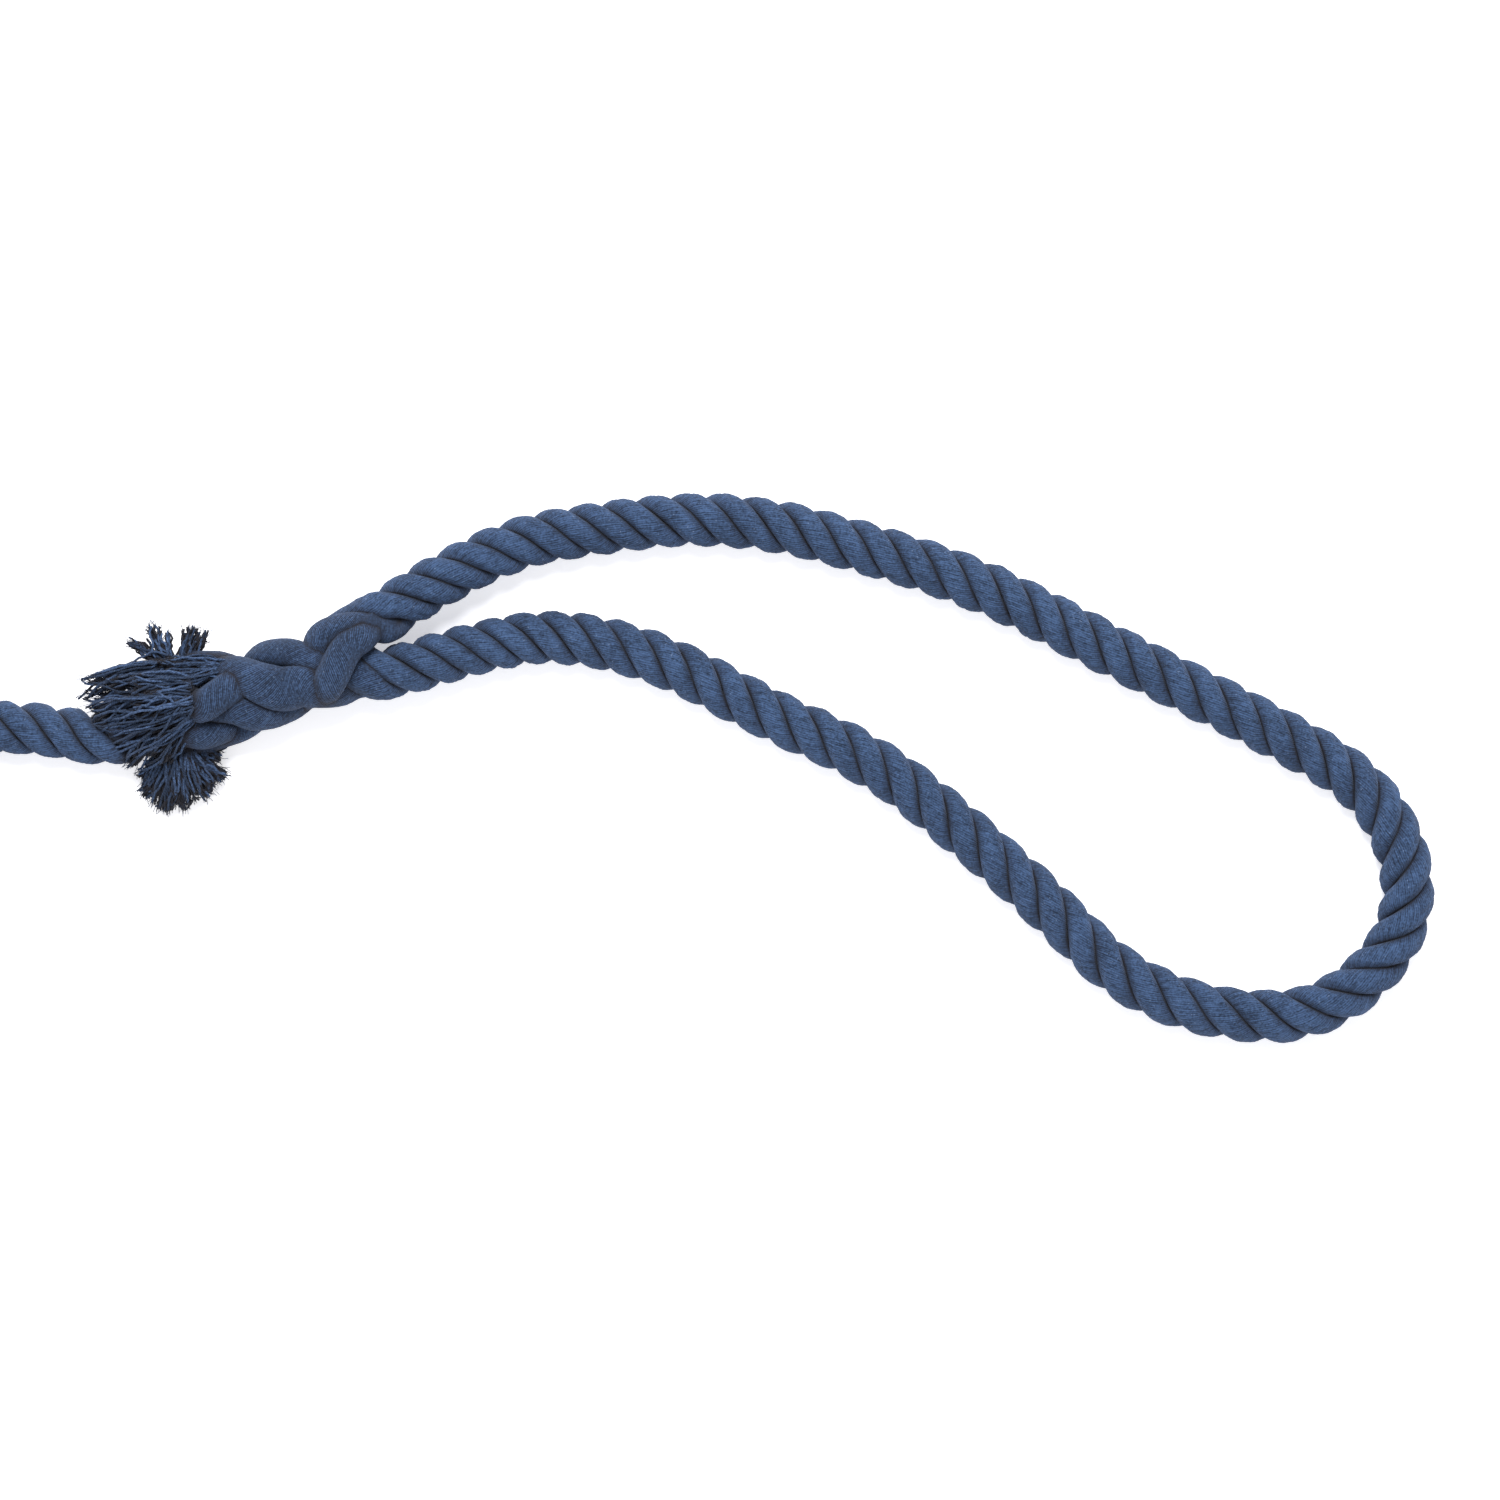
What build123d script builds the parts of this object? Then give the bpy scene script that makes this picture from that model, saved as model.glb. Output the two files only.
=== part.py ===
"""A dock line of soft three-strand cotton rope, with an eye spliced in one end and the rest in a tied coil.

Millimetres, +Z up. The line lies on a flat surface at z = 0. The origin is on that surface under the throat
of the eye, where the rope's end was spliced back into the line. +X runs from the throat along the eye to its
round end, and the coil lies on the -X side. Every stretch of rope is a plain tube or closed solid here.
"""
import math
import os

from build123d import *

# Driving dimensions
ROPE_D = 12.7  # half-inch rope
ROPE_R = ROPE_D / 2
STRAND_D = 6.2  # one of the rope's three strands, laid loose
CORE_D = 9.5  # the standing rope where the three tucked strands press it together
TUCK_R = 8.4  # from the standing rope's centre to a tucked strand's centre
SPLICE_Z = 11.7
FLOOR_Z = ROPE_R  # the centre height of rope that lies on the surface
WHIPPING_T = 0.9  # how far the whipping twine stands out from the rope
WHIPPING_L = 16.0
WHIPPING_FROM_END = 4.0
ARC_SHARE = 0.45  # how much of the shorter of two runs the arc between them takes

# The eye, from its spliced end round the bight and back through the splice to the coil
EYE_POINTS = [
    (12, 14, 11),
    (34, 26.5, 7.5),
    (60, 33.5, FLOOR_Z),
    (94, 36.5, FLOOR_Z),
    (131, 29, FLOOR_Z),
    (181, 6.5, FLOOR_Z),
    (224, -16.5, FLOOR_Z),
    (246, -29, FLOOR_Z),
    (256.5, -48, FLOOR_Z),
    (252.5, -69, FLOOR_Z),
    (234, -84, FLOOR_Z),
    (209, -85, FLOOR_Z),
    (186, -77, FLOOR_Z),
    (168.5, -57.5, FLOOR_Z),
    (147, -38.5, FLOOR_Z),
    (127, -22, FLOOR_Z),
    (101, -12, FLOOR_Z),
    (77, 2, FLOOR_Z),
    (50, 8.5, 7.5),
    (10, -2.5, SPLICE_Z),
]
STANDING_POINTS = [
    (-32, -10.5, SPLICE_Z),
    (-58, -20, 8),
    (-82, -16.5, FLOOR_Z),
    (-104, -11, FLOOR_Z),
    (-122, -1, FLOOR_Z),
]

# The coil: three turns beside each other and three high, held by three ties
COIL_CENTRE = (-190.0, -50.0)
COIL_MEAN_R = 70.0
TURNS_WIDE = 3
LAYERS = 3
LAYER_PITCH = 12.05  # the turns above press a little into the ones below
COIL_W = TURNS_WIDE * ROPE_D + 0.5
COIL_H = ROPE_D + (LAYERS - 1) * LAYER_PITCH + 0.4
COIL_CORNER_R = 8.0
TIE_ANGLES = (15, 125, 265)
TIE_T = 2.0
TIE_W = 9.0

# The bitter end leaves the coil's top and lies straight across it
END_R = COIL_MEAN_R - ROPE_D
END_Z = COIL_H + ROPE_R + 0.2
END_LENGTH = 88.0

# Each tucked strand: its place on the eye rope's end face, then distance along the splice and angle round it,
# from +Y over the top, and the point where its cut yarns spread
TUCKED_STRANDS = {
    "tucked_strand_1": {
        "face_angle": 110,
        "steps": [(3, 38), (9, 79), (15, 123), (21, 167), (27, 212), (33, 256), (39, 301), (45, 345)],
        "end": (-36, -0.5, 12.5),
    },
    "tucked_strand_2": {
        "face_angle": -10,
        "steps": [(9, -41), (15, 3), (21, 47), (27, 92), (33, 136), (39, 180)],
        "end": (-39, -21, 9.5),
    },
    "tucked_strand_3": {
        "face_angle": 230,
        "steps": [(9, -102), (16, -106), (22, -65), (28, -21), (34, 24), (40, 68)],
        "end": (-37, -9, 20.5),
    },
}
STRAND_OFFSET = 3.2  # from the rope's centre to a strand's centre, on the end face
FRAYED_ENDS = {
    "frayed_end_1": {"direction": (-0.35, 0.93, 0.0), "length": 9.5, "diameter": 14.0},
    "frayed_end_2": {"direction": (-0.1, -0.98, -0.05), "length": 13.0, "diameter": 15.0},
    "frayed_end_3": {"direction": (-0.8, -0.55, 0.08), "length": 19.0, "diameter": 15.0},
}
FRAY_WIDEST = 0.6  # how far along a frayed end it is widest
FRAY_TIP = 0.8  # its tip's width against its widest


def arc_radii(points):
    """The largest arc that each corner's two runs leave room for, one for each corner."""
    radii = []
    for before, corner, after in zip(points, points[1:], points[2:]):
        run_in = Vector(*corner) - Vector(*before)
        run_out = Vector(*after) - Vector(*corner)
        half_turn = math.radians(run_in.get_angle(run_out)) / 2
        shorter = min(run_in.length, run_out.length)
        radii.append(ARC_SHARE * shorter / math.tan(half_turn))
    return radii


def middle(start, end):
    return tuple((a + b) / 2 for a, b in zip(start, end))


def tube(name, points, diameter):
    """A round tube along straight runs joined by tangent arcs."""
    radii = arc_radii(points)
    path = FilletPolyline(*points, radius=radii)
    section = Plane(origin=path @ 0, z_dir=path % 0) * Circle(diameter / 2)
    solid = sweep(section, path=path)
    expected = math.pi * diameter**2 / 4 * path.length
    print(
        f"{name}: length {path.length:.0f}, smallest radius {min(radii):.0f},"
        f" volume {solid.volume:.0f} of {expected:.0f}"
    )
    return solid, path


def ring_section(inset):
    """The coil's cross-section, standing on the surface, made smaller by inset all round."""
    centre = Plane.XZ * Pos(COIL_MEAN_R, COIL_H / 2)
    corner = COIL_CORNER_R - inset
    return centre * RectangleRounded(COIL_W - 2 * inset, COIL_H - 2 * inset, corner)


def coil_place(angle=0.0):
    return Pos(*COIL_CENTRE) * Rot(Z=angle)


def coil_ties():
    """Bands of twine sunk into the coil, so that they are level with its outside."""
    band = ring_section(0) - ring_section(TIE_T)
    arc = math.degrees(TIE_W / COIL_MEAN_R)
    tie = revolve(band, axis=Axis.Z, revolution_arc=arc)
    return [coil_place(angle - arc / 2) * tie for angle in TIE_ANGLES]


def rope_coil(ties):
    ring = coil_place() * revolve(ring_section(0), axis=Axis.Z)
    for tie in ties:
        ring -= tie
    return ring


def on_coil(radius, angle, height):
    turn = math.radians(angle)
    x, y = COIL_CENTRE
    return (x + radius * math.cos(turn), y + radius * math.sin(turn), height)


def bitter_end_points():
    """Up out of the coil's top inner turn, then straight over the top towards -Y."""
    x, y, _ = on_coil(END_R, 180, END_Z)
    return [
        on_coil(END_R, 140, COIL_H - ROPE_R),
        on_coil(END_R, 161, END_Z - 2.5),
        (x + 1.2, y - 0.12 * END_LENGTH, END_Z),
        (x, y - 0.56 * END_LENGTH, END_Z),
        (x, y - END_LENGTH, END_Z),
    ]


def end_whipping(path):
    """A sleeve of twine round the rope, a little short of its end."""
    near = 1 - WHIPPING_FROM_END / path.length
    far = 1 - (WHIPPING_FROM_END + WHIPPING_L) / path.length
    place = Plane(origin=path @ far, z_dir=(path @ near) - (path @ far))
    ring = Circle(ROPE_R + WHIPPING_T) - Circle(ROPE_R)
    return extrude(place * ring, WHIPPING_L), place


def splice_place():
    """The splice's frame: x along it towards the coil, y across it towards +Y, z up."""
    start, end = Vector(*EYE_POINTS[-1]), Vector(*STANDING_POINTS[0])
    along = (end - start).normalized()
    return start, along, Vector(0, 0, 1).cross(along) * -1, Vector(0, 0, 1)


def tuck_points(strand, eye_path):
    """From the eye rope's end face, against the lay round the standing rope, to the strand's cut end."""
    face = Plane(origin=eye_path @ 0, z_dir=eye_path % 0, x_dir=Vector(0, 0, 1).cross(eye_path % 0))
    turn = math.radians(strand["face_angle"])
    on_face = face.x_dir * math.cos(turn) + face.y_dir * math.sin(turn)
    points = [tuple(face.origin + on_face * STRAND_OFFSET)]
    start, along, across, up = splice_place()
    for distance, angle in strand["steps"]:
        turn = math.radians(angle)
        out = across * math.cos(turn) + up * math.sin(turn)
        points.append(tuple(start + along * distance + out * TUCK_R))
    return [*points, strand["end"]]


def frayed_end(root, direction, length, diameter):
    """The cut yarns of one strand, which spread from the strand's end."""
    place = Plane(origin=root, z_dir=direction)
    root_face = place * Circle(STRAND_D / 2)
    widest_face = place.offset(length * FRAY_WIDEST) * Circle(diameter / 2)
    tip_face = place.offset(length) * Circle(diameter / 2 * FRAY_TIP)
    return loft([root_face, widest_face, tip_face], ruled=True)


def cut_away(solid, neighbours):
    """Soft yarns give way to what they press on."""
    for neighbour in neighbours:
        solid -= neighbour
    return solid


def build():
    nodes = {}
    throat_end = EYE_POINTS[-1]
    core_start = middle(EYE_POINTS[-2], throat_end)
    core_end = middle(STANDING_POINTS[0], STANDING_POINTS[1])
    nodes["eye_rope"], eye_path = tube("eye_rope", [*EYE_POINTS[:-1], core_start], ROPE_D)
    core_points = [core_start, throat_end, STANDING_POINTS[0], core_end]
    nodes["splice_core"], _ = tube("splice_core", core_points, CORE_D)
    nodes["standing_part"], _ = tube("standing_part", [core_end, *STANDING_POINTS[1:]], ROPE_D)

    ties = coil_ties()
    nodes["rope_coil"] = rope_coil(ties)
    nodes["standing_part"] -= nodes["rope_coil"]
    for number, tie in enumerate(ties, 1):
        nodes[f"coil_tie_{number}"] = tie

    bitter_end, end_path = tube("bitter_end", bitter_end_points(), ROPE_D)
    nodes["bitter_end"] = bitter_end - nodes["rope_coil"]
    nodes["end_whipping"], place = end_whipping(end_path)
    print("whipping starts at", place.origin, "and points along", place.z_dir)

    pressed_on = [nodes[name] for name in ("eye_rope", "splice_core", "standing_part")]
    for name, strand in TUCKED_STRANDS.items():
        tucked, _ = tube(name, tuck_points(strand, eye_path), STRAND_D)
        nodes[name] = cut_away(tucked, pressed_on)
        pressed_on.append(nodes[name])
    for (name, size), strand in zip(FRAYED_ENDS.items(), TUCKED_STRANDS.values()):
        nodes[name] = cut_away(frayed_end(strand["end"], **size), pressed_on)
    return nodes


os.makedirs("parts", exist_ok=True)
for node_name, node_shape in build().items():
    export_step(node_shape, f"parts/{node_name}.step")
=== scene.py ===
"""A navy cotton dock line: an eye spliced in one end, the rest in a tied coil. Metres, +Z up."""
import math

import bpy
import numpy as np
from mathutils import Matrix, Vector
from mathutils.bvhtree import BVHTree
from mathutils.kdtree import KDTree


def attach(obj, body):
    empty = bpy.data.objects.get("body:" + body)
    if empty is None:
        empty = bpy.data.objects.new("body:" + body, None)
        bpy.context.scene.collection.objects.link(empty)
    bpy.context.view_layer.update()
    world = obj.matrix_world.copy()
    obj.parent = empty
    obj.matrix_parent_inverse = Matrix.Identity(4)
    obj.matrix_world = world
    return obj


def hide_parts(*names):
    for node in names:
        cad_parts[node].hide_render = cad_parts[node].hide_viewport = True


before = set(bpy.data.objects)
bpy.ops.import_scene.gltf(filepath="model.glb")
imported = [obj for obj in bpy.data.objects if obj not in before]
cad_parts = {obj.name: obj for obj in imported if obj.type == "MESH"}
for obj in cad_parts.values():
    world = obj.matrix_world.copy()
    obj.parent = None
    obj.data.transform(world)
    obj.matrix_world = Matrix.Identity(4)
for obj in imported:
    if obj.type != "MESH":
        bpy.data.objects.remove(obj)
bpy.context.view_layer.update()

MM = 0.001

# -- sizes
ROPE_D = 12.7 * MM
FLOOR_Z = 0.00635  # the rope's middle where it lies on the floor
CREST_R = 6.45 * MM  # strand crests stand a hair outside the nominal size
VALLEY_SHARE = 0.35  # how far grooves cut in, against the crest
VALLEY_POWER = 2.7  # how narrow they are
STRAND_OFFSET = 0.56 * CREST_R  # from the rope's centre to a laid strand's centre
STRAND_APEX = 0.4 * MM  # from the rope's centre to a laid strand's inner edge
FLANK_GAP = 0.08 * MM  # between a laid strand's sides and its neighbours
FREE_HALF_T = 3.4 * MM  # half the thickness of a strand out of the lay

SEEN_STEP = 1.0 * MM  # ring spacing along the eye, and in the coil
COIL_STEP = 1.6 * MM
OUTER_POINTS = 26  # on a laid strand's outer side, and on each flank
FLANK_POINTS = 5

# -- the rope's route
EYE_POINTS = [
    (0.0122, 0.0136, 0.0090), (0.034, 0.0277, 0.0070),
    (0.060, 0.0331, FLOOR_Z), (0.094, 0.0360, FLOOR_Z),
    (0.131, 0.0266, FLOOR_Z), (0.156, 0.0179, FLOOR_Z),
    (0.181, 0.0048, FLOOR_Z), (0.224, -0.0162, FLOOR_Z),
    (0.2463, -0.0293, FLOOR_Z), (0.2562, -0.0488, FLOOR_Z),
    (0.2529, -0.0681, FLOOR_Z), (0.2342, -0.0844, FLOOR_Z),
    (0.209, -0.0842, FLOOR_Z), (0.1866, -0.0758, FLOOR_Z),
    (0.1688, -0.0576, FLOOR_Z), (0.1468, -0.0384, FLOOR_Z),
    (0.1266, -0.0226, FLOOR_Z), (0.1012, -0.0118, FLOOR_Z),
    (0.077, 0.0016, FLOOR_Z), (0.050, 0.0080, 0.0068),
    (0.028, 0.0032, 0.0080), (0.010, -0.0025, 0.0092),
]
STANDING_POINTS = [
    (-0.032, -0.0105, 0.0092), (-0.055, -0.0190, 0.0070),
    (-0.075, -0.0147, FLOOR_Z), (-0.092, -0.0154, FLOOR_Z),
    (-0.109, -0.0096, FLOOR_Z), (-0.123, -0.0005, FLOOR_Z),
]
COIL_CENTRE = (-0.190, -0.050)
COIL_MEAN_R = 0.070
COIL_START = 50  # degrees, where the standing part joins the lowest outer turn
COIL_SWEEP = 3010
COIL_STEP_DEG = 15
LAYER_PITCH = 12.05 * MM
MOVE_WIDTH = 40  # degrees over which the rope moves to its next place in the coil
# Place after place: how far out and how high, and how many degrees before a whole turn it moves on
COIL_PLACES = [
    (1, 0, 40), (0, 0, 40), (-1, 0, 80),
    (-1, 1, 120), (0, 1, 120), (1, 1, 160),
    (1, 2, 200), (0, 2, 200), (-1, 2, 0),
]
COIL_WAVES = [(0.5 * MM, 1.7, 0), (0.4 * MM, 0.83, 40)]  # uneven turns: size, waves in a turn, degrees
END_Z = 43.75 * MM  # the bitter end, on top of the coil
END_LENGTH = 88 * MM
END_SHARES = (0.0, 0.13, 0.42, 0.71, 1.0)  # where its route's points are
LIFT_DEG = 60  # degrees over which the last turn climbs to it
TIE_ANGLES = (15, 125, 265)
TIE_BITE = 1.0 * MM  # how far a tie pulls the outer turns in
TIE_PRESS = 0.4 * TIE_BITE  # and each layer down
TIE_REACH = 16  # degrees each side of a tie that are pulled in


def smooth(x):
    x = np.clip(x, 0, 1)
    return x * x * (3 - 2 * x)


def coil_points():
    """Nine turns, three wide and three high: each point a step further round, moved over between places."""
    points = []
    for angle in np.arange(0, COIL_SWEEP, COIL_STEP_DEG):
        out, layer = COIL_PLACES[0][:2]
        for turn, (here, there) in enumerate(zip(COIL_PLACES, COIL_PLACES[1:])):
            middle = 360 * (turn + 1) - here[2]
            moved = float(smooth((angle - middle) / MOVE_WIDTH + 0.5))
            out += moved * (there[0] - here[0])
            layer += moved * (there[1] - here[1])
        wander = sum(size * math.sin(math.radians(rate * angle + start)) for size, rate, start in COIL_WAVES)
        radius = COIL_MEAN_R + out * ROPE_D + wander
        height = FLOOR_Z + layer * LAYER_PITCH
        around = (COIL_START + angle) % 360
        pull = sum(float(smooth(1 - abs((around - tie + 180) % 360 - 180) / TIE_REACH)) for tie in TIE_ANGLES)
        radius -= pull * out * TIE_BITE
        height -= pull * layer * TIE_PRESS
        lift = float(smooth((angle - (COIL_SWEEP - LIFT_DEG)) / LIFT_DEG))
        height += lift * (END_Z - height)
        turn = math.radians(COIL_START + angle)
        x = COIL_CENTRE[0] + radius * math.cos(turn)
        y = COIL_CENTRE[1] + radius * math.sin(turn)
        points.append((x, y, height))
    return points


def bitter_end_points():
    """Off the coil's top inner turn and straight over the top towards -Y."""
    x = COIL_CENTRE[0] - (COIL_MEAN_R - ROPE_D)
    y = COIL_CENTRE[1]
    return [(x, y - share * END_LENGTH, END_Z) for share in END_SHARES]


def nurbs_line(points, resolution):
    """The smooth line of a NURBS spline with these control points, as close points."""
    curve = bpy.data.curves.new("route", "CURVE")
    curve.dimensions = "3D"
    curve.resolution_u = resolution
    spline = curve.splines.new("NURBS")
    spline.points.add(len(points) - 1)
    for point, place in zip(spline.points, points):
        point.co = (*place, 1)
    spline.order_u = 3
    spline.use_endpoint_u = True
    holder = bpy.data.objects.new("route", curve)
    mesh = bpy.data.meshes.new_from_object(holder)
    line = np.array([v.co for v in mesh.vertices], float)
    bpy.data.objects.remove(holder)
    bpy.data.meshes.remove(mesh)
    bpy.data.curves.remove(curve)
    return line


def along_line(line):
    """How far along the line each of its points is."""
    return np.r_[0, np.cumsum(np.linalg.norm(np.diff(line, axis=0), axis=1))]


def at_lengths(line, lengths):
    """The places that are these lengths along the line."""
    along = along_line(line)
    return np.stack([np.interp(lengths, along, line[:, k]) for k in range(3)], axis=1)


def unit(v):
    return v / np.maximum(np.linalg.norm(v, axis=-1, keepdims=True), 1e-12)


def directions(line):
    return unit(np.gradient(line, axis=0))


def across_part(v, t):
    """The part of v at right angles to t, at length 1."""
    return unit(v - (v * t).sum(-1, keepdims=True) * t)


# -- camera
VIEW_CENTRE = (0.0972, -0.0204)
CAMERA_HEIGHT = 1.0  # above the middle of the rope on the floor


def make_camera():
    """Straight above the eye, looking down."""
    camera = bpy.data.objects.new("camera", bpy.data.cameras.new("camera"))
    camera.data.lens = 100
    camera.data.sensor_width = 36
    camera.location = (*VIEW_CENTRE, FLOOR_Z + CAMERA_HEIGHT)
    bpy.context.scene.collection.objects.link(camera)
    bpy.context.scene.camera = camera


make_camera()

# -- rope
# How the lay changes along the rope: distance from the eye's spliced end, and a turn's length there
LAY_ALONG = [(0, 23.5), (210, 26.5), (250, 25), (375, 29.5), (440, 27), (560, 24)]
FIRST_PHASE = -7.2  # degrees from straight up, where strand 1's crest is at the spliced end
SPLICE_LAY = 48.6  # a turn's length in the splice, and from behind it to the bitter end
COIL_LAY = 25.0
ROUTE_RESOLUTION = 24  # points of the line for each control point
SEEN_BEHIND = 0.125  # how far behind the splice's start rings are still close

route_points = EYE_POINTS + STANDING_POINTS + coil_points() + bitter_end_points()[1:]
route_line = nurbs_line(route_points, ROUTE_RESOLUTION)
route_along = along_line(route_line)
route_length = route_along[-1]


def splice_start():
    """How far along the route it comes nearest to the eye's last point."""
    eye_line = route_line[: len(EYE_POINTS) * ROUTE_RESOLUTION]
    return route_along[np.argmin(np.linalg.norm(eye_line - np.array(EYE_POINTS[-1]), axis=1))]


SPLICE_START = splice_start()
route_steps = np.r_[
    np.arange(0, SPLICE_START + SEEN_BEHIND, SEEN_STEP),
    np.arange(SPLICE_START + SEEN_BEHIND, route_length, COIL_STEP),
    route_length,
]
rope_centre = at_lengths(route_line, route_steps)
rope_tangent = directions(rope_centre)
rope_up = across_part(np.tile((0.0, 0.0, 1.0), (len(route_steps), 1)), rope_tangent)
rope_side = np.cross(rope_tangent, rope_up)
splice_q = (route_steps - SPLICE_START) / MM  # millimetres along the splice

# The splice, in millimetres along it and degrees round it from the top towards +Y
SPLICE_FROM, SPLICE_TO = -2, 56  # where the standing part's strands leave the lay, and are back in it
LAY_OPENS, LAY_CLOSES = (-1, 6), (48, 8)  # where its long lay begins and ends, and over how far
ROUND_BEGINS, ROUND_ENDS = (-1, 6), (47, 8)  # and where its strands are round
SETTLED = 60  # over this length before the splice the lay turns to fit; this far along it the coil's begins
SIDE_SHIFT = [(0, 0), (10, 3.2), (25, 2.4), (42, 1.1), (56, 0)]  # along it, and how far its middle lies to +Y
MARK_Q = 16.6  # along it, where its three strands are told apart
MARK_ANGLE = 180  # the angle of strand 1 there
# The standing part's strands in the splice, each under the angle that its lay alone would give it at MARK_Q:
# (along the splice, angle or None for the lay's own, distance from its middle, half its width)
STANDING = {
    60: [
        (-2, None, 3.6, 3.9), (8.5, 0, 3.9, 3.9), (14, 22, 5.8, 3.8), (20, 54, 7.9, 3.7), (27, 84, 7.6, 3.7),
        (33, 150, 4.8, 3.8), (40.3, 272, 6.0, 3.9), (45, 300, 7.0, 4.0), (50, 325, 5.0, 3.9),
        (56, None, 3.6, 3.9),
    ],
    300: [
        (-2, None, 3.6, 3.9), (8.5, 245, 4.8, 3.9), (13, 302, 5.8, 4.2), (17, 336, 7.2, 4.8),
        (25, 355, 8.6, 5.2), (29, 373, 8.8, 4.7), (33, 400, 8.5, 4.1), (37, 426, 8.0, 4.0),
        (42, 490, 5.0, 3.9), (50, None, 4.0, 3.9), (56, None, 3.6, 3.9),
    ],
    180: [
        (-2, None, 3.6, 3.9), (8.5, 120, 4.6, 3.9), (16.6, 185, 4.6, 3.9), (24.3, 272, 5.8, 4.0),
        (28, 298, 7.2, 4.2), (31.7, 315, 7.6, 4.3), (35.7, 339, 6.2, 4.2), (41, 360, 4.2, 3.9),
        (47, 410, 5.0, 3.9), (56, None, 3.6, 3.9),
    ],
}


def knots(table, x):
    """A smooth value between given (x, value) pairs."""
    places, values = np.array(table, float).T
    i = np.clip(np.searchsorted(places, x) - 1, 0, len(places) - 2)
    share = smooth((x - places[i]) / (places[i + 1] - places[i]))
    return values[i] + share * (values[i + 1] - values[i])


def gentle(table, x):
    """A value between given (x, value) pairs, without a pause at each pair."""
    places, values = np.array(table, float).T
    slopes = np.gradient(values, places)
    i = np.clip(np.searchsorted(places, x) - 1, 0, len(places) - 2)
    step = places[i + 1] - places[i]
    t = (x - places[i]) / step
    return (
        values[i] * (1 + 2 * t) * (1 - t) ** 2
        + values[i + 1] * t * t * (3 - 2 * t)
        + step * (slopes[i] * t * (1 - t) ** 2 - slopes[i + 1] * t * t * (1 - t))
    )


def in_splice(begins, ends):
    """At each step of the route, 1 inside the splice and 0 outside. Each end is a place and a length."""
    return smooth((splice_q - begins[0]) / begins[1]) * (1 - smooth((splice_q - ends[0]) / ends[1]))


def middle_shift():
    """How far the splice's middle lies to the side of the route, at each step of it."""
    inside = (splice_q > SPLICE_FROM) & (splice_q < SPLICE_TO)
    return np.where(inside, knots(SIDE_SHIFT, np.clip(splice_q, 0, SPLICE_TO)), 0)[:, None] * MM


def lay_phase():
    """Degrees that strand 1's crest has turned from straight up, at each step of the route."""
    places, lays = np.array(LAY_ALONG, float).T
    from_start = route_steps / MM
    lay = np.interp(from_start, places, lays)
    inside = in_splice(LAY_OPENS, LAY_CLOSES)
    lay = 1 / ((1 - inside) / lay + inside / SPLICE_LAY)
    lay = np.where(splice_q > SETTLED, COIL_LAY, lay)
    turned = np.r_[0, np.cumsum(np.diff(from_start) * 360 / (0.5 * (lay[1:] + lay[:-1])))]
    phase = FIRST_PHASE + turned
    here = np.interp(MARK_Q, splice_q, phase)
    wanted = MARK_ANGLE + 360 * round((here - MARK_ANGLE) / 360)
    return phase + (wanted - here) * smooth((splice_q + SETTLED) / SETTLED)


rope_phase = np.radians(lay_phase())


# -- one strand's section
def laid_section():
    """A laid strand's outline, its share of the way round, and how deep between its neighbours each point is,
    0 to 1, which is its painted shade in the grooves.
    """
    half = math.radians(60)
    turn = np.linspace(-half, half, OUTER_POINTS)
    r = CREST_R * (1 - VALLEY_SHARE * np.abs(turn / half) ** VALLEY_POWER)
    outer = np.stack([r * np.cos(turn), r * np.sin(turn) * (1 - FLANK_GAP / (r * math.sin(half)))], 1)
    shares = np.linspace(0, 1, FLANK_POINTS + 2)[1:-1, None]
    apex = np.array([[STRAND_APEX, 0.0]])
    up = apex + (outer[0] - apex) * shares
    down = outer[-1] + (apex - outer[-1]) * shares
    ring = np.concatenate([apex, up, outer, down])
    steps = np.linalg.norm(np.roll(ring, -1, axis=0) - ring, axis=1)
    share = np.r_[0, np.cumsum(steps)] / steps.sum()
    # painted shade: none on the crest, rising to full at its edges and on the flanks, where neighbours meet
    painted_shade = np.concatenate([[1.0], np.ones(FLANK_POINTS), np.abs(turn / half), np.ones(FLANK_POINTS)])
    ring[:, 0] -= STRAND_OFFSET
    return ring, share, painted_shade


LAID, RING_SHARE, GROOVE_SHADE = laid_section()
RING_ANGLE = np.unwrap(np.arctan2(LAID[:, 1], LAID[:, 0]))
RING_POINTS = len(LAID)
YARNS_ROUND = 38
YARN_TWIST = 0.078  # turns of the yarns round their strand, for each millimetre of rope
TAIL_TWIST = 0.050  # and for each millimetre of a tail, which has untwisted a little
YARN_STREAK = 0.25  # of the UV map, for a millimetre along a yarn
SWELL = (0.016, 22 * MM)  # how much a strand's thickness wanders, against itself, and its shortest wave
RIPPLE = (0.05 * MM, 9 * MM)  # and how its outline does
RIPPLES = 6


def lumps(rng, lengths, size, shortest, count=6):
    """A slow random wander along a strand, at most about size."""
    total = np.zeros(len(lengths))
    for _ in range(count):
        wave = shortest * rng.uniform(1, 4)
        total += np.sin(2 * np.pi * (lengths / wave + rng.random()))
    return size * total / math.sqrt(count)


def rounded(free, half_w):
    """Each ring's outline, from the laid shape (free 0) to an ellipse (free 1)."""
    ellipse = np.stack([np.cos(RING_ANGLE), np.sin(RING_ANGLE)], 1)
    free = free[:, None, None]
    oval = ellipse[None] * np.stack([np.full(len(half_w), FREE_HALF_T), half_w], 1)[:, None, :]
    return (1 - free) * LAID[None] + free * oval


def ring_quads(count, around):
    """The faces of a tube through this many rings of points."""
    low = np.arange(count - 1)[:, None] * around
    high = low + around
    here = np.arange(around)[None]
    there = (here + 1) % around
    return np.stack([low + here, low + there, high + there, high + here], -1).reshape(-1, 4)


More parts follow.
